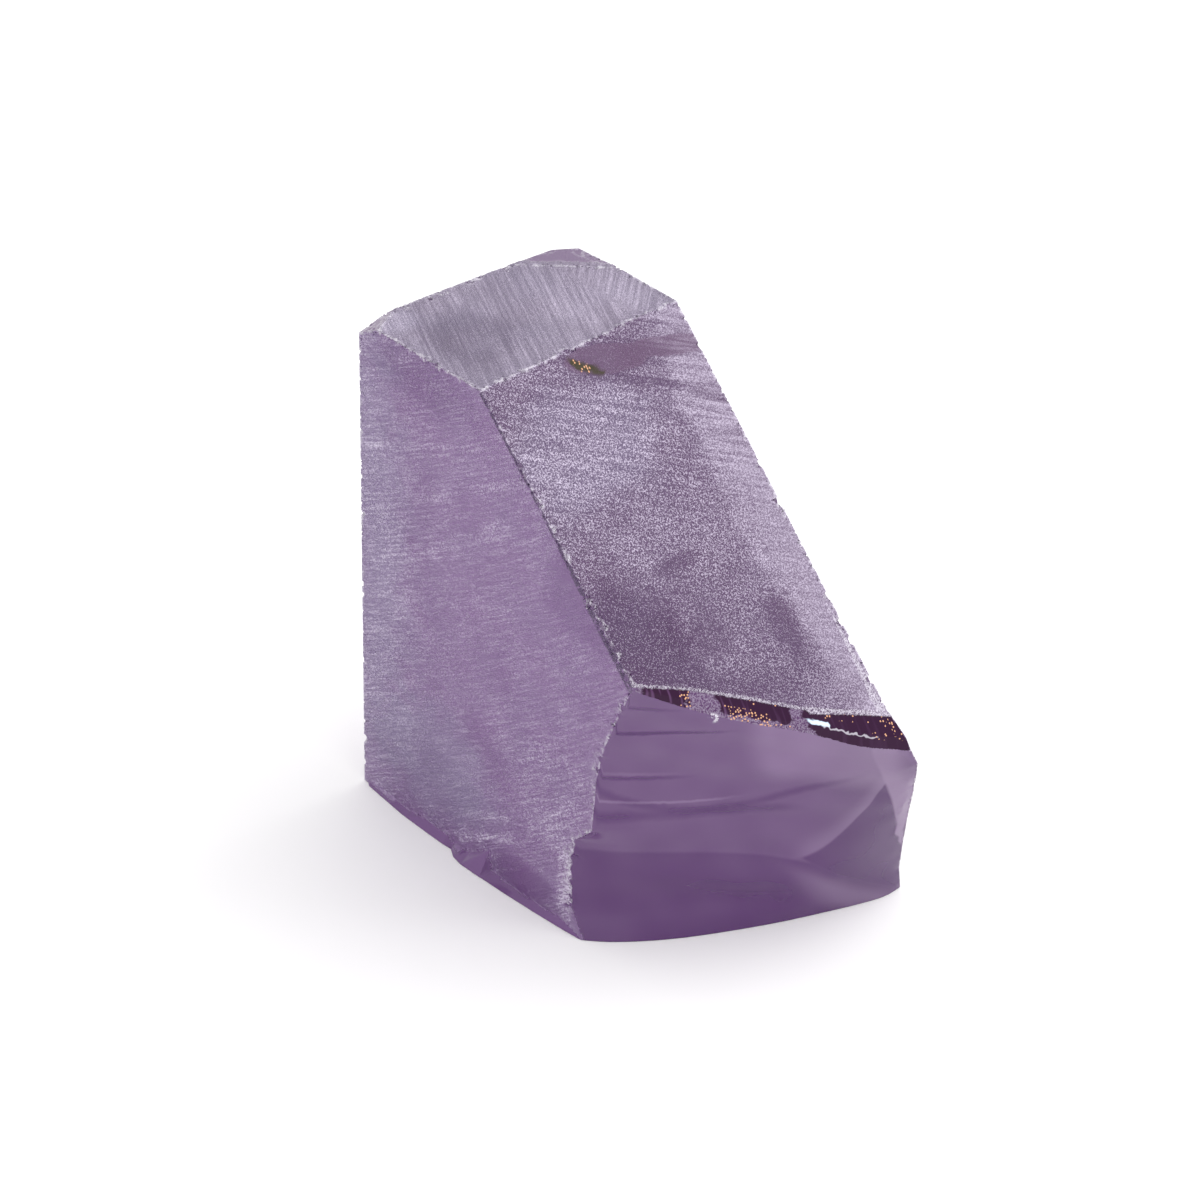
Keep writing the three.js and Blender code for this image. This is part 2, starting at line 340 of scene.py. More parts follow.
def makeFiner(stone, edges, brow, rim):
    # finer faces beside the edges but those of the base, on the strip, in the scoops and where the
    # lip goes
    spare = stoneParts["finerBand"]
    for band in (stoneShape["edgeBand"] + spare, stoneShape["edgeBand"]):
        places = readPlaces(stone)
        on = regions(stone, brow, rim)
        start, reach = lipAt(places)
        lip = on["leftFace"] & (places[:, 2] < start + spare) & (reach > 0)
        beside = (distances(edges, places) < band) & (places[:, 2] > stoneParts["baseBand"])
        selectVertices(stone, beside | on["strip"] | on["scoop"] | lip)
        bpy.ops.mesh.subdivide(number_cuts=1)
        bpy.ops.object.mode_set(mode="OBJECT")
        print("finer", len(stone.data.vertices))
    places = readPlaces(stone)
    start, reach = lipAt(places)
    near = np.abs(above(places, "leftFace")) < stoneParts["lipWithin"]
    places[near, 1] -= (reach * np.clip(1 - places[:, 2] / start, 0, 1))[near]
    writePlaces(stone, places)
    applyModifier(stone, "SHRINKWRAP", target=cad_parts["sapphire_block"],
                  wrap_method="NEAREST_SURFACEPOINT")


def smoothOver(stone, wanted, rounds):
    selectVertices(stone, wanted)
    bpy.ops.mesh.vertices_smooth(factor=0.5, repeat=rounds)
    bpy.ops.object.mode_set(mode="OBJECT")


def shapeStone(stone, edges, brow, rim):
    shape = stoneShape
    places = readPlaces(stone)
    edge = distances(edges, places)
    on = regions(stone, brow, rim)
    for name, (place, way) in cuts.items():  # the cuts dead flat
        flat = on[name]
        places[flat] -= np.outer(above(places[flat], name), way)
    scoop = on["scoop"]
    deep = above(places[scoop], "slopeFace") * (1 - shape["scoopDepth"])
    places[scoop] -= np.outer(deep, cuts["slopeFace"][1])
    writePlaces(stone, places)
    smoothOver(stone, scoop, shape["scoopSmooth"])
    smoothOver(stone, on["break"] & (edge > shape["smoothFrom"]), shape["breakSmooth"])
    folded = (fromLeft(places) > shape["foldSide"]) & (places[:, 2] < shape["foldBelow"])
    smoothOver(stone, on["break"] & (edge > shape["foldFrom"]) & folded, shape["foldSmooth"])

    # ripples of the break, like those of a shell
    ripple = rippleShape
    places = readPlaces(stone)
    side = fromLeft(places)
    across = np.clip(side / np.interp(places[:, 2], *zip(*breakRight)), 0, 1)
    up = places[:, 2] / np.interp(side, *zip(*rim))
    ring = up - ripple["bend"] * np.maximum(across - ripple["bendFrom"], 0) ** 2
    wave = np.sin(ripple["count"] * ring + ripple["wander"] * lumps(places, ripple["wanderSize"]))
    calm = fade(edge, *ripple["edgeCalm"]) * on["break"]
    calm *= 1 - fade(across, *ripple["acrossCalm"]) * fade(up, *ripple["upCalm"])
    places[:, 0] += ripple["height"] * calm * wave
    # and shallower ones on the break under the right face, from its upper corner in front
    around = np.linalg.norm(places - np.array(ripple["rightMiddle"]), axis=1)
    wander = ripple["rightWander"] * lumps(places, ripple["rightWanderSize"], 11)
    wave = np.sin(around * ripple["rightCount"] + wander) - 1
    calm = fade(edge, *ripple["rightEdgeCalm"]) * on["lipFace"] * fade(places[:, 2], 0.1, 0.8)
    places += np.outer(ripple["rightShare"] * ripple["height"] * calm * wave, cuts["lipFace"][1])
    # the front one's right end is ragged
    ragged = on["break"] * fade(across, *shape["raggedFrom"]) * fade(places[:, 2], 0.1, 0.5)
    reach = lumps(places, 0.9, 6) + 0.6 * lumps(places, 0.4, 7) - 0.5
    places[:, 1] += shape["raggedEnd"] * ragged * reach

    # ragged edges, but for those at the base
    normals = readNormals(stone)
    plain = ~on["strip"] & ~on["break"] & (stripDrop(places, brow, rim) < -shape["chipStop"])
    chipped = (places[:, 2] > shape["chipFrom"]) & plain
    near = (edge < shape["chipReach"]) & (chipped | on["leftFace"])
    depth = np.zeros(len(places))
    some = places[near]
    bite = 0.6 * blocks(some, shape["chipSize"], 1) + 0.4 * blocks(some, shape["chipSize"] / 2, 2)
    depth[near] = shape["chipDepth"] * fade(bite, 0.3, 1) * (1 - edge[near] / shape["chipReach"])
    depth *= fade(places[:, 2], shape["chipFrom"], 1)
    places -= normals * depth[:, None]
    low, high = np.array(cadBox[0]) / mm, np.array(cadBox[1]) / mm
    places = np.clip(places, low + shape["insideBox"], high - shape["insideBox"])
    places[on["baseFace"], 2] = 0
    writePlaces(stone, places)

    on["slopeFace"] |= on["scoop"]
    # a place on the base's edge belongs to the face over it
    footEdge = on["baseFace"] & (normals[:, 2] > -stoneParts["baseFacing"])
    on["baseFace"] &= ~footEdge
    inFront = (normals[:, 0] > stoneParts["facing"]) & ~on["leftFace"] & ~on["lip"] & ~on["lipFace"]
    on["break"] |= footEdge & inFront
    for name, values in on.items():
        keepMask(stone, name, values)
    bitten = ~np.any(list(on.values()), axis=0) & (edge < shape["bittenWithin"])
    keepMask(stone, "bite", bitten & (places[:, 2] > shape["bittenAbove"]))
    keepMask(stone, "edgeDistance", edge)
    keepMask(stone, "frost", frostAmount(places, on))
    keepMask(stone, "shade", shadeAmount(places, on))
    keepMask(stone, "blue", blueAmount(places, on))
    keepMask(stone, "stripDrop", stripDrop(places, brow, rim))
    keepMask(stone, "breakAcross", across)
    keepMask(stone, "breakUp", up)
    keepMask(stone, "breakPaintedLight", breakPaintedLight(across, up, places))
    sloping = ~(on["rightFace"] | on["topFace"] | on["leftFace"] | on["lipFace"])
    keepMask(stone, "pit", pitAmount(places) * sloping)
    keepMask(stone, "lens", lensAmount(places) * sloping)
    bpy.ops.object.mode_set(mode="EDIT")
    bpy.ops.mesh.select_all(action="SELECT")
    bpy.ops.mesh.quads_convert_to_tris()
    bpy.ops.object.mode_set(mode="OBJECT")
    pickOnly(stone)
    bpy.ops.object.shade_smooth_by_angle(angle=math.radians(shape["smoothAngle"]))
    print("stone", len(stone.data.polygons), "triangles")


# How the finish changes over the faces. Each spot is its middle and half size on its face, in mm:
# along the face from the back or the ridge, then from the left face or up from the base.

frostSpots = {
    "slopeFace": {"plain": 0.62, "lumps": 0.2, "spots": [
        (3.2, 2.6, 2.6, 3.6, 0.2), (7.0, 5.5, 2.0, 4.0, 0.1),
        (10.8, 0.8, 3.4, 2.4, -0.75), (13.5, 3.5, 1.6, 3.0, -0.2),
        (8.1, 3.8, 0.35, 1.1, -0.5), (10.8, 3.7, 1.2, 0.8, -0.3), (11.6, 6.5, 1.5, 0.6, -0.35),
        (0.85, 5.1, 0.8, 1.8, -0.3), (7.0, 8.4, 9.0, 1.9, 0.75),
        (4.3, 5.4, 1.0, 1.2, 0.2), (1.25, 7.5, 0.5, 1.4, -0.2)]},
    "topFace": {"plain": 0.55, "lumps": 0.25, "spots": [
        (1.0, 0.8, 0.9, 0.9, 0.28), (3.6, 2.0, 2.3, 1.6, -0.25), (4.6, 7.0, 2.4, 2.2, 0.22)]},
    "leftFace": {"plain": 0.33, "lumps": 0.2, "spots": [
        (-1.0, 9.0, 4.5, 13.0, 0.25), (10.6, 5.2, 2.6, 3.2, 0.2),
        (11.2, 1.9, 0.6, 1.9, 0.6), (9.0, 0.9, 1.7, 0.8, -0.5), (12.0, 14.3, 2.4, 2.0, -0.25)]},
}
# lighter and darker streaks: where each starts and ends, its half width and strength
frostStreaks = {
    "leftFace": [
        (0.1, 14.3, 7.1, 17.9, 0.2, 0.22), (2.2, 13.0, 8.9, 17.4, 0.25, 0.25),
        (0.7, 9.8, 4.1, 11.9, 0.35, 0.25), (4.1, 11.9, 8.0, 15.1, 0.5, 0.28),
        (5.3, 0.6, 8.2, 2.1, 0.28, 0.55), (5.9, 1.8, 7.9, 2.8, 0.22, 0.4),
        (9.5, 2.9, 11.6, 5.2, 0.6, 0.25)],
    "slopeFace": [
        (1.5, 4.9, 2.28, 6.51, 0.2, -0.3), (2.28, 6.51, 3.75, 8.64, 0.22, -0.35)],
}
shadeSpots = {
    "slopeFace": {"plain": 0.0, "lumps": 0.2, "spots": [
        (10.8, 0.8, 3.4, 2.4, 0.6), (13.5, 4.0, 2.0, 4.0, 0.3), (0.85, 5.1, 0.9, 1.9, 0.15)]},
    "topFace": {"plain": 0.1, "lumps": 0.1, "spots": [(3.6, 2.0, 2.6, 2.0, 0.5)]},
    "leftFace": {"plain": 0.1, "lumps": 0.15, "spots": [
        (8.8, 0.7, 3.0, 0.9, 0.5), (3.6, 1.8, 3.5, 2.2, 0.3), (12.0, 14.3, 2.4, 3.0, 0.2),
        (3.4, 18.8, 3.6, 1.5, 0.45)]},
}
blueSpots = {
    "slopeFace": {"plain": 0.08, "lumps": 0.1, "spots": [(3.2, 2.6, 2.6, 3.6, 0.35)]},
    "topFace": {"plain": 0.4, "lumps": 0.2, "spots": [(1.0, 0.8, 1.0, 1.0, 0.3)]},
    "leftFace": {"plain": 0.2, "lumps": 0.2, "spots": [
        (-1.0, 10, 4.5, 13.0, 0.6), (4.0, 3.0, 3.6, 3.0, 0.6)]},
}


def onFace(places, name):  # the two distances that a spot is given in
    fromBack = places[:, 0] - stoneSize["back"]
    if name == "slopeFace":
        down = (places[:, 0] - stoneSize["ridge"]) / math.cos(math.radians(stoneSize["slopePitch"]))
        return down, fromLeft(places)
    if name == "topFace":
        return fromBack, fromLeft(places)
    return fromBack, places[:, 2]


def spotted(places, on, plans, elsewhere, seed):
    amount = np.full(len(places), float(elsewhere))
    for name, plan in plans.items():
        mine = on[name]
        first, second = onFace(places[mine], name)
        value = plan["plain"] + plan["lumps"] * lumps(places[mine], 1.6, seed)
        for middle, height, reach, rise, strength in plan["spots"]:
            far = np.hypot((first - middle) / reach, (second - height) / rise)
            value += strength * (1 - fade(far + 0.2 * lumps(places[mine], 0.5, seed + 5), 0.5, 1.1))
        amount[mine] = value
    return np.clip(amount, 0, 1)


def farFrom(first, second, line):
    # how far along a line the places are, from 0 to 1, and how far from it
    x, y, way = first - line[0], second - line[1], np.array(line[2:]) - np.array(line[:2])
    along = np.clip((x * way[0] + y * way[1]) / (way @ way), 0, 1)
    return along, np.hypot(x - along * way[0], y - along * way[1])


def frostAmount(places, on):
    amount = spotted(places, on, frostSpots, 0.35, 1)
    for name, streaks in frostStreaks.items():
        mine = on[name]
        for *line, half, strength in streaks:
            along, far = farFrom(*onFace(places[mine], name), line)
            ragged = far / half + 0.3 * lumps(places[mine], 0.5, 12)
            amount[mine] += strength * fade(ragged, 1, 0.3)
    return np.clip(amount, 0, 1)


def shadeAmount(places, on):
    return spotted(places, on, shadeSpots, 0.1, 2)


def blueAmount(places, on):
    return spotted(places, on, blueSpots, 0.2, 3)


def stripDrop(places, brow, rim):  # 0 at the strip's upper edge, 1 at its lower one
    # less than 0 above it
    lower = np.interp(fromLeft(places), *zip(*rim))
    upper = np.interp(fromLeft(places), *zip(*brow))
    return np.clip((upper - places[:, 2]) / (upper - lower), -1, 1)


breakPlain = 0.385  # from the break's dark colour, 0, to its light one, 1
# Painted light and painted shade on the break, lighter or darker as it is looked into: corners in
# shares across it and up it, and how much lighter or darker
breakPaintedLights = [
    ([(0.6, 0.3), (0.66, 0.28), (0.99, 0.0), (1.1, -0.1), (0.75, 0.0)], 0.32),
    ([(0.4, 1.1), (0.5, 0.75), (0.9, 0.78), (1.0, 1.1)], 0.26),
]


def insideOf(corners, x, y, soft):  # 1 inside a shape with corners in order, 0 outside
    corners = np.array(corners)
    middle = corners.mean(axis=0)
    value = np.ones(len(x))
    for start, end in zip(corners, np.roll(corners, -1, axis=0)):
        way = np.array([end[1] - start[1], start[0] - end[0]])
        way = way / np.linalg.norm(way)
        if (middle - start) @ way > 0:
            way = -way
        value *= fade((x - start[0]) * way[0] + (y - start[1]) * way[1], soft, -soft)
    return value


# the break's painted light and shade, from its dark colour, 0, to its light one, 1
def breakPaintedLight(across, up, places):
    breakLightShade = np.full(len(across), breakPlain) + 0.06 * lumps(places, 1.2, 9)
    for corners, change in breakPaintedLights:
        breakLightShade += change * insideOf(corners, across, up, 0.06)
    return np.clip(breakLightShade, 0, 1)


# the two smooth scoops under the ridge: middle and half size, down the slope and from the left face,
# and how they turn; and the pit's ends and half width there
scoops = [((0.8, 5.0), (0.62, 1.75), 0.3), ((1.25, 7.5), (0.42, 1.75), 0.3)]
pitLine = (0.4, 3.74, 1.2, 4.66)
pitHalf = (0.24, 0.1)


def lensAmount(places):  # 1 in the scoops
    down, side = onFace(places, "slopeFace")
    amount = np.zeros(len(places))
    for middle, reach, turn in scoops:
        alongIt = (side - middle[1]) + turn * (down - middle[0])
        acrossIt = (down - middle[0]) - turn * (side - middle[1])
        far = np.hypot(acrossIt / reach[0], alongIt / reach[1]) + 0.12 * lumps(places, 0.5, 8)
        amount = np.maximum(amount, fade(far, 1.1, 0.75))
    return amount * (above(places, "slopeFace") > -1)


def pitAmount(places):  # 1 in the small dark pit under the ridge
    along, far = farFrom(*onFace(places, "slopeFace"), pitLine)
    far = far / (1 - 1.9 * (along - 0.45) ** 2) + 0.08 * lumps(places, 0.2, 4)
    return fade(far, *pitHalf) * (above(places, "slopeFace") > -1)


# Nodes written as expressions

class Wire:  # a socket that Python sums can be done with
    def __init__(self, nodes, socket):
        self.nodes = nodes
        self.socket = socket

    def sum(self, operation, *others):
        return self.nodes.add("Math", {"operation": operation}, others)

    def __add__(self, other):
        return self.sum("ADD", self, other)

    def __radd__(self, other):
        return self.sum("ADD", other, self)

    def __sub__(self, other):
        return self.sum("SUBTRACT", self, other)

    def __rsub__(self, other):
        return self.sum("SUBTRACT", other, self)

    def __mul__(self, other):
        return self.sum("MULTIPLY", self, other)

    def __rmul__(self, other):
        return self.sum("MULTIPLY", other, self)

    def __truediv__(self, other):
        return self.sum("DIVIDE", self, other)

    def __abs__(self):
        return self.sum("ABSOLUTE", self)


class Nodes:
    def __init__(self, tree):
        self.tree = tree
        tree.nodes.clear()

    def add(self, kind, settings=None, sockets=(), output=0):
        # sockets is a list in the node's own order, or a dictionary by name or number
        node = self.tree.nodes.new("ShaderNode" + kind)
        for name, value in (settings or {}).items():
            setattr(node, name, value)
        pairs = sockets.items() if isinstance(sockets, dict) else enumerate(sockets)
        for name, value in pairs:
            if isinstance(value, Wire):
                self.tree.links.new(value.socket, node.inputs[name])
            else:
                node.inputs[name].default_value = value
        return Wire(self, node.outputs[output]) if node.outputs else None

    def masks(self, *names):
        return [self.add("Attribute", {"attribute_name": name}, output="Fac") for name in names]

    def fade(self, value, start, end, low=0, high=1):
        return self.add("MapRange", {"interpolation_type": "SMOOTHSTEP"}, [value, start, end, low, high])

    def blend(self, factor, first, second):  # of two colours
        return self.add("Mix", {"data_type": "RGBA"}, {0: factor, 6: first, 7: second}, output=2)

    def mix(self, factor, first, second):  # of two values
        return self.add("Mix", {"data_type": "FLOAT"}, {0: factor, 2: first, 3: second})

    def window(self, value, low, high, soft=0.04):  # 1 between low and high
        return self.fade(value, low - soft, low + soft) * self.fade(value, high + soft, high - soft)

    def largest(self, first, *others):
        for other in others:
            first = self.add("Math", {"operation": "MAXIMUM"}, [first, other])
        return first

    def dot(self, place, way):
        return self.add("VectorMath", {"operation": "DOT_PRODUCT"}, [place, way], output="Value")

    def vector(self, x, y, z):
        return self.add("CombineXYZ", {}, [x, y, z])

    def cloud(self, place, scale, detail=2, rough=0.5):  # soft noise from 0 to 1
        return self.add("TexNoise", {}, {
            "Vector": place, "Scale": scale, "Detail": detail, "Roughness": rough})


sapphireLook = {
    "ior": 1.77,
    "throughColour": (0.32, 0.0, 0.42, 1),  # what the crystal lets through
    "throughDensity": 130,                   # per metre
    "sawnRoughness": 0.5,
    "breakRoughness": 0.12,
    "clearSpecular": 0.4,
    "cloudySpecular": 0.12,
    "frost": (0.60, 0.53, 0.67, 1),
    "chip": (0.70, 0.66, 0.75, 1),
    "leftBody": (0.25, 0.125, 0.325, 1),
    "topBody": (0.22, 0.17, 0.255, 1),
    "slopeBody": (0.082, 0.03, 0.105, 1),
    "lensBody": (0.125, 0.058, 0.138, 1),
    # the break's colours at the ends of its painted shade and its painted light
    "breakDark": (0.09, 0.025, 0.14, 1),
    "breakLight": (0.33, 0.22, 0.39, 1),
    # the strip's dark colour is painted shade
    "stripShadeColour": (0.024, 0.0, 0.024, 1),
    "ribs": (0.13, 0.055, 0.15, 1),
    "lipBody": (0.17, 0.085, 0.225, 1),
    "looseBody": (0.2, 0.12, 0.25, 1),
    "blueTint": (0.29, 0.28, 0.42, 1),
    "seam": (0.05, 0.018, 0.085, 1),
    # the colour of the painted copper glints on the strip and in the pit
    "copperGlints": (0.72, 0.38, 0.22, 1),
    "olive": (0.05, 0.04, 0.022, 1),
    "glint": (0.68, 0.82, 1.0, 1),
}
# the grain of the sawn faces and their scratches: how fine the grain is to a mm, which ways the
# scratches run and cross, and how much they are drawn out along and squeezed across
sawMarks = {
    "grain": 18.5,
    "coarse": 4,
    "grainRange": (0.35, 0.66),
    "scratchRange": (0.33, 0.67),
    "leftFall": (0.55, 0.0085),     # the left face's fall and curve towards the front
    "left": (0.6, 8),
    "topTurn": (7.0, 7.2),          # mm from the left face
    "topRuns": ((0.91, -0.42, 0), (0.71, -0.71, 0)),
    "topCrosses": ((0.42, 0.91, 0), (0.71, 0.71, 0)),
    "top": (0.2, 7.5),
    "slopeRun": (0.36, 0.87, -0.34),
    "slopeCross": (0.63, -0.5, -0.6),
    "slope": (0.25, 5),
    "others": 8,
    "bumpHeight": 0.03,             # mm
    "bumpStrength": 0.5,
}
# how much the grain, the scratches and the frost whiten each face, and the sums that give no white
# and full white
whiteShares = {
    "slope": {"grain": 0.84, "scratched": 0.1, "scratchedAbove": 0.15, "frost": 0.51, "right": 0.1,
              "scoops": -0.25, "range": (0.07, 1.21), "sparks": 0.4, "sparkRange": (0.86, 0.97)},
    "top": {"scratched": 0.34, "grain": 0.34, "frost": 0.6, "range": (0.0, 1.2)},
    "left": {"scratched": 0.6, "grain": 0.85, "plain": 0.5, "frosted": 0.8, "frost": 0.5,
             "range": (-0.1, 1.4)},
    "rightFrom": (5.0, 8.5),        # mm from the left face
    "aboveFrom": (14.0, 17.5),      # mm up
    "calm": 0.6,                    # how much weaker the grain is at the right and in the scoops
}
# fine lines of the break, painted light and shade on its ripples: share up it at its left end, slope,
# bend, half width, where it stops, and how light it is
rippleLines = [
    (0.92, 0.36, 0.0, 0.012, 0.22, -0.22), (0.8, 0.43, -0.05, 0.012, 0.4, -0.36),
    (0.612, 0.28, 0.06, 0.012, 0.33, -0.2), (0.628, 0.28, 0.06, 0.012, 0.3, 0.12),
    (0.524, 0.2, 0.1, 0.01, 0.5, 0.26), (0.565, -0.25, 0.7, 0.03, 0.88, -0.15),
    (0.46, 0.28, -0.1, 0.035, 0.7, -0.16),
]
# painted light and shade on the break: the darker facet at its right, the lighter band over it, the
# darker foot and the lighter right end, in shares across and up the break
facetShape = {
    "tip": 0.645,
    "height": 0.334,                # of the tip
    "topRise": (0.56, 5.2),         # its slope and its bend
    "footFall": 0.94,
    "edge": 0.012,                  # how soft the borders are
    "bandReach": 0.13,
    "end": 0.895,                   # where the right end starts, 0.8 up
    "endLean": 0.217,
    "footLine": (0.305, 0.297, -0.436),
    "facetLight": -0.15,
    "bandLight": 0.2,
    "footLight": -0.14,
    "endLight": (0.1, 0.5),         # at the top and lower down
    "paler": (0.6, 0.9, 1.0, 0.86), # how saturated it is towards the right
}
# the strip from the left face on, in mm: where it is frosted and where the painted copper glints show
frostedStretches = [(-1, 0.3), (1.85, 2.8), (5.15, 5.6)]
# and how far down it the painted copper glints are, from 0 to 1, and what share of the specks is there
copperGlintStretches = [(1.6, 1.85, 0.1, 1.0, 0.5), (3.1, 4.3, 0.45, 1.0, 0.55), (4.3, 5.1, 0.6, 1.0, 0.2),
                   (2.9, 5.1, 0.1, 0.5, 0.08), (6.2, 8.3, 0.08, 0.28, 0.13), (7.8, 8.8, 0.5, 0.7, 0.4)]
stripMarks = {
    "shake": 0.5,                   # mm, how ragged the ends of the stretches are
    "ribs": 7,                      # to a mm
    "ribRange": (0.56, 0.8),
    "ribsFrom": (6.0, 3.0, 0.1, 0.7),
    "frostedFoot": (1.7, 5.8),      # mm from the left face, where the strip's foot is frosted too
    "frostedGrain": 0.34,
    "ledge": (0.2, 0.058),          # how far down the bright line is, and how it falls with each mm
    "jagged": (6.1, 7.9),           # mm, from where to where it runs
    "jaggedHalf": (0.045, 0.015),
    "glint": (5.65, 6.3),
    "glintRise": 0.08,
    "glintHalf": (0.1, 0.05),
    "specks": 11,                   # to a mm
    "speckHalf": (0.36, 0.2),
    "pitGlintSpecks": (0.6, 3.8, 4.3),   # the share of them in the pit, and from where to where
    "star": 2.62,                   # mm from the left face, where the white star under it is
    "starHalf": (0.13, 0.05),
}
# the chipped, torn and dark edges
edgeMarks = {
    "chips": (0.11, 0.03),          # mm from an edge
    "underSlope": 12.5,             # mm from the origin to the slope
    "seam": (17, 13, 0.13, 0.34),   # the dark seam: from and to which height, its width there in mm
    "seamShare": 0.92,
    "torn": (0.12, 0.4),            # mm, the reach of the front edge's tears, and what low ones add
    "tornShare": 0.6,
    "rim": 0.55,                    # how white the slope's lower rim is
    "bite": 0.4,
    "jagged": 0.6,
}
# how little the clear crystal shows through
coverShares = {
    "plain": 0.66,
    "white": 0.3,
    "slopeAndBreak": 0.12,
    "lip": 0.25,
    "stripAndPit": 0.34,
}


def sapphire():
    look, saw, shares, facet = sapphireLook, sawMarks, whiteShares, facetShape
    marks, edging, covers = stripMarks, edgeMarks, coverShares
    material = bpy.data.materials.new("sapphire")
    material.use_nodes = True
    nodes = Nodes(material.node_tree)
    metres = nodes.add("TexCoord", output="Object")
    place = nodes.add("VectorMath", {"operation": "SCALE"}, {"Vector": metres, "Scale": 1 / mm})
    length = nodes.dot(place, (1, 0, 0)) - stoneSize["back"]
    side = nodes.dot(place, (0, 1, 0)) - stoneSize["left"]
    high = nodes.dot(place, (0, 0, 1))

    left, top, slope, lip, strip, broke = nodes.masks(
        "leftFace", "topFace", "slopeFace", "lip", "strip", "break")
    right, back, base, lens, pit, bite = nodes.masks(
        "rightFace", "backFace", "baseFace", "lens", "pit", "bite")
    edge, frost, shade, blue = nodes.masks("edgeDistance", "frost", "shade", "blue")
    drop, across, up, breakLightShade = nodes.masks("stripDrop", "breakAcross", "breakUp", "breakPaintedLight")
    others = right + back + base
    sawn = nodes.fade(left + top + slope + others, 0.2, 0.8)

    grain = nodes.fade(nodes.cloud(place, saw["grain"], 1, 0.9), *saw["grainRange"])  # fine, frosted
    coarse = nodes.cloud(place, saw["coarse"], 1, 0.65)
    spread = grain - 0.5
    ragged = coarse - 0.5

    # the saw's scratches run another way on each face, and on the top in two ways
    leftArc = high - length * saw["leftFall"][0] - length * length * saw["leftFall"][1]
    twoWays = nodes.fade(side, *saw["topTurn"])
    topRun = nodes.mix(twoWays, *(nodes.dot(place, way) for way in saw["topRuns"]))
    topCross = nodes.mix(twoWays, *(nodes.dot(place, way) for way in saw["topCrosses"]))
    slopeRun = nodes.dot(place, saw["slopeRun"])
    slopeCross = nodes.dot(place, saw["slopeCross"])
    run = left * length * saw["left"][0] + top * topRun * saw["top"][0] + slope * slopeRun * saw["slope"][0]
    crossing = (left * leftArc * saw["left"][1] + top * topCross * saw["top"][1]
                + slope * slopeCross * saw["slope"][1] + others * high * saw["others"])
    scratches = nodes.cloud(nodes.vector(run, crossing, 3.0), 1, 2, 0.85)
    scratched = nodes.fade(scratches, *saw["scratchRange"]) - 0.5

    # how white each face is
    toRight = nodes.fade(side, *shares["rightFrom"])
    upper = nodes.fade(high, *shares["aboveFrom"])
    sharp = (1 - shares["calm"] * toRight) * (1 - shares["calm"] * lens)
    share = shares["slope"]
    whiteSlope = nodes.fade(
        share["grain"] * spread * sharp
        + (share["scratched"] + share["scratchedAbove"] * upper) * scratched
        + share["frost"] * frost + share["right"] * toRight + share["scoops"] * lens, *share["range"])
    sparks = share["sparks"] * nodes.fade(grain, *share["sparkRange"]) * sharp
    whiteSlope = nodes.largest(whiteSlope, sparks)
    share = shares["top"]
    whiteTop = nodes.fade(
        share["scratched"] * scratched + share["grain"] * spread + share["frost"] * frost,
        *share["range"])
    share = shares["left"]
    rough = (share["scratched"] * scratched + share["grain"] * spread) * (
        share["plain"] + share["frosted"] * frost)
    whiteLeft = nodes.fade(rough + share["frost"] * frost, *share["range"])
    white = slope * whiteSlope + top * whiteTop + (left + others) * whiteLeft

    # the break's painted light and shade: its fine lines, its darker foot, the darker facet with a lighter
    # band over it, and its lighter right end
    light = breakLightShade
    for start, rise, bend, half, stop, strength in rippleLines:
        far = abs(up - (start + across * rise + across * across * bend + 0.008 * ragged))
        light = light + strength * nodes.fade(far, half, 0.0) * nodes.fade(across, stop, stop - 0.2)
    tip = across - facet["tip"]
    overTop = up - (facet["height"] + tip * facet["topRise"][0] + tip * tip * facet["topRise"][1])
    footEdge = facet["height"] - tip * facet["footFall"]
    overFoot = up - footEdge
    pastEnd = across - (facet["end"] + (0.8 - up) * facet["endLean"])
    darkFacetShade = nodes.fade(tip, -0.01, 0.01) * nodes.fade(overTop, facet["edge"], -facet["edge"]) * nodes.fade(
        overFoot, -facet["edge"], facet["edge"])
    band = nodes.fade(tip, -0.05, 0.03) * nodes.fade(
        overTop, -facet["edge"], facet["edge"]) * nodes.fade(overTop, facet["bandReach"], 0.0)
    end = nodes.fade(pastEnd, -0.008, 0.008)
    low, rise, bend = facet["footLine"]
    curve = low + across * rise + across * across * bend
    divide = nodes.add("Math", {"operation": "MINIMUM"}, [curve, footEdge])
    foot = nodes.fade(up - divide, 0.008, -facet["edge"])
    light = light + facet["footLight"] * foot + end * nodes.fade(up, 0.95, 0.75, *facet["endLight"])
    light = light + (1 - end) * (facet["bandLight"] * band + facet["facetLight"] * darkFacetShade)
    breakShadedColour = nodes.blend(nodes.fade(light, 0, 1), look["breakDark"], look["breakLight"])
    breakShadedColour = nodes.add("HueSaturation", {}, {
        "Color": breakShadedColour, "Saturation": nodes.fade(across, *facet["paler"])})

    # the plain colour of each face
    body = look["looseBody"]
    for mask, colour in ((left + others, "leftBody"), (top, "topBody"), (slope, "slopeBody"),
                         (lens, "lensBody"), (lip, "lipBody")):
        body = nodes.blend(nodes.fade(mask, 0.4, 0.6), body, look[colour])
    # the break takes its colour with painted light and shade
    body = nodes.blend(nodes.fade(broke, 0.4, 0.6), body, breakShadedColour)
    body = nodes.blend(sawn * blue * 0.5, body, look["blueTint"])
    body = nodes.add("HueSaturation", {}, {
        "Color": body, "Saturation": 1 + 0.3 * shade, "Value": 1 - 0.4 * shade})
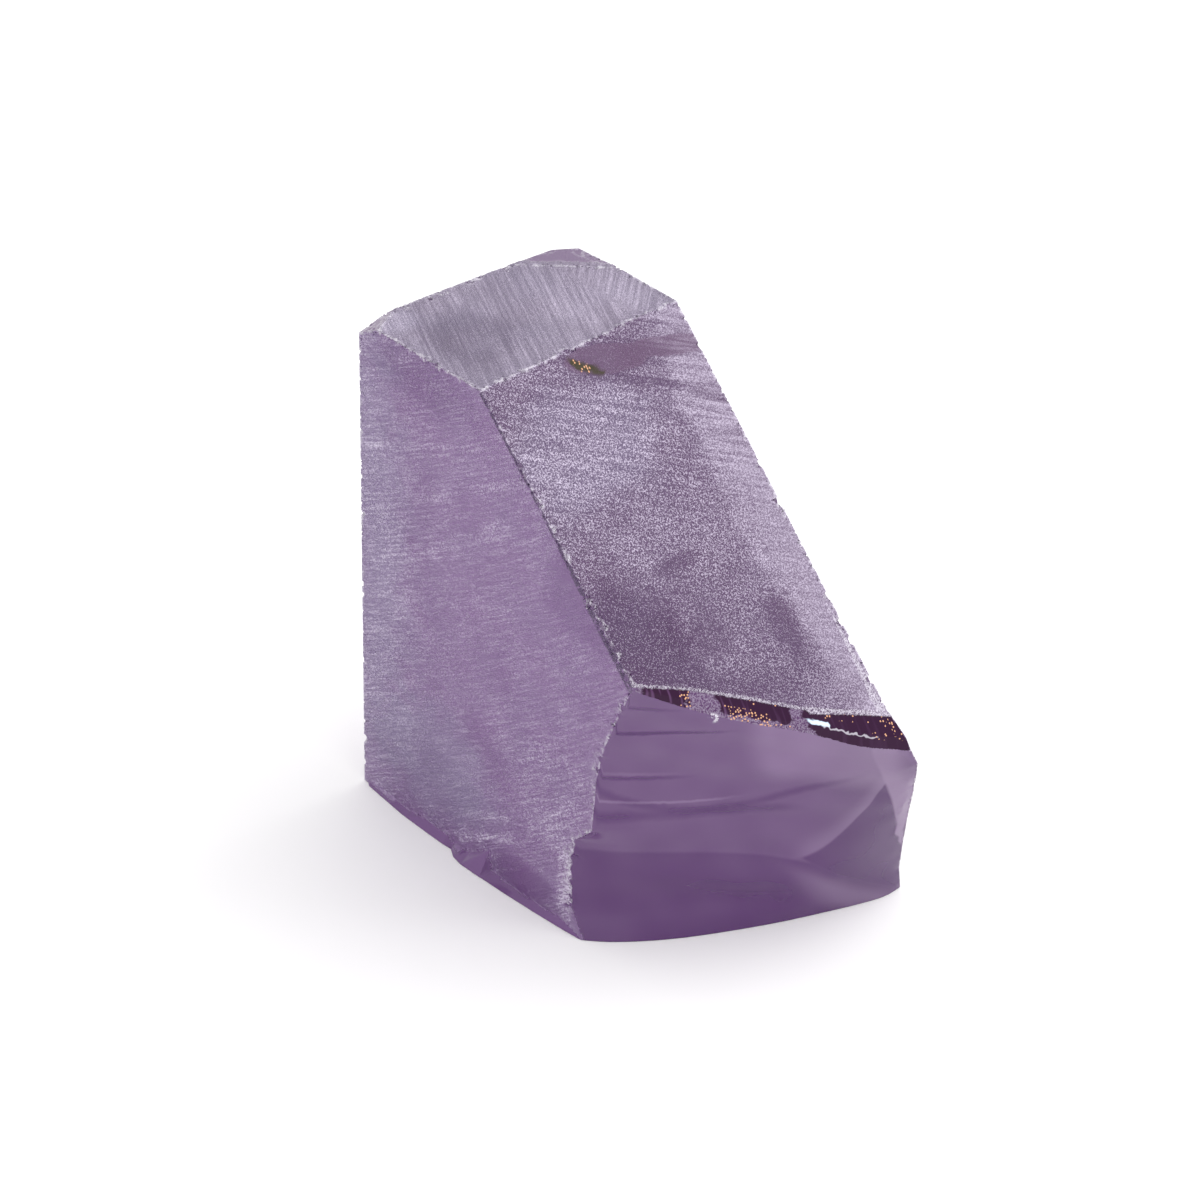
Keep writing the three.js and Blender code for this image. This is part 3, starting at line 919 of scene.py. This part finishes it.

    # the glassy strip, painted dark as painted shade, with ribs, frosted stretches, painted copper glints,
    # a painted bluish-white glint and a bright jagged line
    shaken = side + marks["shake"] * ragged
    ribs = nodes.cloud(nodes.vector(side * marks["ribs"], drop * 0.5, 1.0), 1, 0)
    frosted = nodes.fade(drop + 0.4 * ragged, 0.72, 0.8) * nodes.window(shaken, *marks["frostedFoot"])
    for start, stop in frostedStretches:
        frosted = nodes.largest(frosted, nodes.window(shaken, start, stop, 0.06))
    fromLedge = drop - (marks["ledge"][0] + side * marks["ledge"][1])
    jagged = nodes.fade(abs(fromLedge - 0.25 * ragged), *marks["jaggedHalf"]) * nodes.window(
        side, *marks["jagged"])
    glint = nodes.window(shaken, *marks["glint"], 0.06) * nodes.fade(
        abs(fromLedge + marks["glintRise"] - 0.2 * ragged), *marks["glintHalf"])
    specks = nodes.add("TexVoronoi", {"voronoi_dimensions": "2D"}, {
        "Vector": nodes.vector(side, high, 0.0), "Scale": marks["specks"]})
    dots = nodes.fade(specks, *marks["speckHalf"])
    chance = nodes.dot(Wire(nodes, specks.socket.node.outputs["Color"]), (1, 0, 0))
    copperGlints = 0.0
    for start, stop, low, upTo, share in copperGlintStretches:
        here = nodes.window(shaken, start, stop, 0.1) * nodes.window(drop, low, upTo, 0.05)
        copperGlints = copperGlints + here * dots * nodes.fade(chance, share + 0.01, share - 0.01)
    share, start, stop = marks["pitGlintSpecks"]
    pitGlints = pit * dots * nodes.fade(chance, share, share - 0.1) * nodes.window(side, start, stop)
    ribbed = nodes.fade(ribs, *marks["ribRange"]) * nodes.fade(side, *marks["ribsFrom"])
    stripColour = nodes.blend(ribbed, look["stripShadeColour"], look["ribs"])
    frostColour = nodes.blend(marks["frostedGrain"] * grain, look["slopeBody"], look["frost"])
    stripColour = nodes.blend(frosted, stripColour, frostColour)

    # chipped edges: white on the slope's and the top's side, dark on the left face's under the slope
    underSlope = nodes.dot(place, (0.69, 0, 0.724)) - edging["underSlope"]
    chips = nodes.fade(edge + 0.12 * spread, *edging["chips"])
    chips = chips * nodes.fade(coarse + 0.25 * spread, 0.44, 0.58)
    chips = chips * nodes.fade(high, 0.3, 1.0) * (1 - left * nodes.fade(underSlope, -0.3, -0.2))
    chips = chips * (1 - 0.9 * slope * nodes.fade(drop, -0.3, -0.15))
    chips = chips * (1 - nodes.fade(strip + broke, 0.2, 0.5))
    tornReach = edging["torn"][0] + edging["torn"][1] * nodes.fade(high, 4.6, 2.6)
    torn = left * nodes.window(high, 0.6, 9.5, 0.5) * nodes.fade(length, 9, 10)
    torn = torn * nodes.fade((edge + 0.35 * (scratched + spread)) / tornReach, 1.0, 0.3)
    torn = torn * nodes.fade(coarse + 0.4 * spread, 0.3, 0.6)
    rimLine = slope * nodes.fade(drop + 0.02 * spread, -0.022, -0.006) * nodes.fade(grain, 0.1, 0.5)
    bitten = bite * nodes.fade(coarse, 0.4, 0.6) * nodes.fade(abs(drop), 0.05, 0.2)
    star = nodes.fade(abs(side - marks["star"] + 0.5 * ragged + 0.1 * spread), *marks["starHalf"]) * (
        strip * nodes.fade(drop, 0.8, 0.95) + broke * nodes.fade(up, 0.965, 0.985))
    chips = nodes.largest(chips, edging["tornShare"] * torn, edging["rim"] * rimLine,
                          edging["bite"] * bitten, edging["jagged"] * strip * jagged, star)
    seamWidth = nodes.fade(high, *edging["seam"])
    seam = left * nodes.fade((underSlope + 0.2 * ragged) / seamWidth, -1.2, -0.8)
    seam = seam * nodes.fade(coarse, 0.66, 0.5)

    colour = nodes.blend(white * (1 - pit), body, look["frost"])
    colour = nodes.blend(nodes.fade(strip, 0.4, 0.6), colour, stripColour)
    colour = nodes.blend(chips, colour, look["chip"])
    colour = nodes.blend(edging["seamShare"] * seam, colour, look["seam"])
    colour = nodes.blend(pit, colour, look["olive"])
    # painted copper glints on the strip and in the pit, then a painted bluish-white glint of light on the
    # strip
    colour = nodes.blend(nodes.fade(strip * copperGlints + pitGlints, 0, 0.6), colour, look["copperGlints"])
    colour = nodes.blend(strip * glint, colour, look["glint"])

    cover = (covers["plain"] + covers["white"] * white + covers["slopeAndBreak"] * (slope + broke)
             + covers["lip"] * lip + covers["stripAndPit"] * (strip + pit))
    roughness = nodes.largest(
        look["breakRoughness"] + sawn * (look["sawnRoughness"] - look["breakRoughness"]), chips * 0.6)
    bump = nodes.add("Bump", {}, {
        "Strength": saw["bumpStrength"], "Distance": saw["bumpHeight"] * mm, "Height": grain * sawn})
    clear = nodes.add("BsdfPrincipled", {}, {
        "Base Color": (1, 1, 1, 1), "Roughness": roughness, "IOR": look["ior"],
        "Specular IOR Level": look["clearSpecular"], "Transmission Weight": 1.0})
    cloudy = nodes.add("BsdfPrincipled", {}, {
        "Base Color": colour, "Roughness": roughness, "IOR": look["ior"],
        "Specular IOR Level": look["cloudySpecular"], "Normal": bump})
    surface = nodes.add("MixShader", {}, [cover, clear, cloudy])
    inside = nodes.add("VolumeAbsorption", {}, {
        "Color": look["throughColour"], "Density": look["throughDensity"]})
    nodes.add("OutputMaterial", {}, {"Surface": surface, "Volume": inside})
    return material


stone = growStone()
edgePoints, brow, rim = readEdges(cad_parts["sapphire_block"])
edges = treeOf(edgePoints)
makeFiner(stone, edges, brow, rim)
shapeStone(stone, edges, brow, rim)
stone.data.materials.append(sapphire())
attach(stone, "root")
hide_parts("sapphire_block")


# The table, the light and the camera

studio = {
    "tableSize": 1.2,       # metres
    "tableColour": (0.93, 0.925, 0.925, 1),
    "tableGap": 0.02,       # mm under the stone
    "skyStrength": 1.15,
    "lampPlace": (0.17, 0.31, 0.36),
    "lampSize": 0.45,
    "lampPower": 1.2,
}

bpy.ops.object.select_all(action="DESELECT")
bpy.ops.mesh.primitive_plane_add(size=studio["tableSize"], location=(0, 0, -studio["tableGap"] * mm))
table = bpy.context.object
table.name = "table"
bpy.ops.object.transform_apply(location=True)
tableTop = bpy.data.materials.new("table_top")
tableTop.use_nodes = True
tableNodes = Nodes(tableTop.node_tree)
tableSurface = tableNodes.add("BsdfPrincipled", {}, {
    "Base Color": studio["tableColour"], "Roughness": 0.9, "Specular IOR Level": 0.1})
tableNodes.add("OutputMaterial", {}, {"Surface": tableSurface})
table.data.materials.append(tableTop)

scene = bpy.context.scene
world = bpy.data.worlds.new("sky")
scene.world = world
world.use_nodes = True
sky = Nodes(world.node_tree)
glow = sky.add("Background", {}, {"Color": (1, 1, 1, 1), "Strength": studio["skyStrength"]})
sky.add("OutputWorld", {}, {"Surface": glow})

bpy.ops.object.light_add(type="AREA", location=studio["lampPlace"])
lamp = bpy.context.object
lamp.data.size = studio["lampSize"]
lamp.data.energy = studio["lampPower"]
lamp.rotation_euler = Vector(studio["lampPlace"]).to_track_quat("Z", "Y").to_euler()

view = {
    "azimuth": 51.033,      # degrees, from the front towards the right
    "elevation": 35.233,
    "distance": 450,        # mm
    "pictureWidth": 1200,   # pixels
    "focal": 13089.3,       # in those pixels
    "sensor": 36,           # mm
    "clip": (0.01, 10),     # metres
    "aim": (0.653, 11.689), # mm to the right of and above the place below
    "target": (2.55, -5.0, 0),
}
turn, lift = math.radians(view["azimuth"]), math.radians(view["elevation"])
viewRight = Vector((math.cos(turn), math.sin(turn), 0))
viewUp = Vector((-math.sin(turn) * math.sin(lift), math.cos(turn) * math.sin(lift), math.cos(lift)))
viewBack = viewRight.cross(viewUp)
aim = Vector(view["target"]) + viewRight * view["aim"][0] + viewUp * view["aim"][1]
bpy.ops.object.camera_add(location=(aim + viewBack * view["distance"]) * mm)
camera = bpy.context.object
camera.rotation_euler = Matrix((viewRight, viewUp, viewBack)).transposed().to_euler()
camera.data.sensor_width = view["sensor"]
camera.data.lens = view["focal"] * view["sensor"] / view["pictureWidth"]
camera.data.clip_start, camera.data.clip_end = view["clip"]
scene.camera = camera
scene.view_settings.view_transform = "Standard"
scene.cycles.max_bounces = 3
scene.cycles.transmission_bounces = 3
scene.cycles.diffuse_bounces = 2
scene.cycles.glossy_bounces = 2
print("scene set")
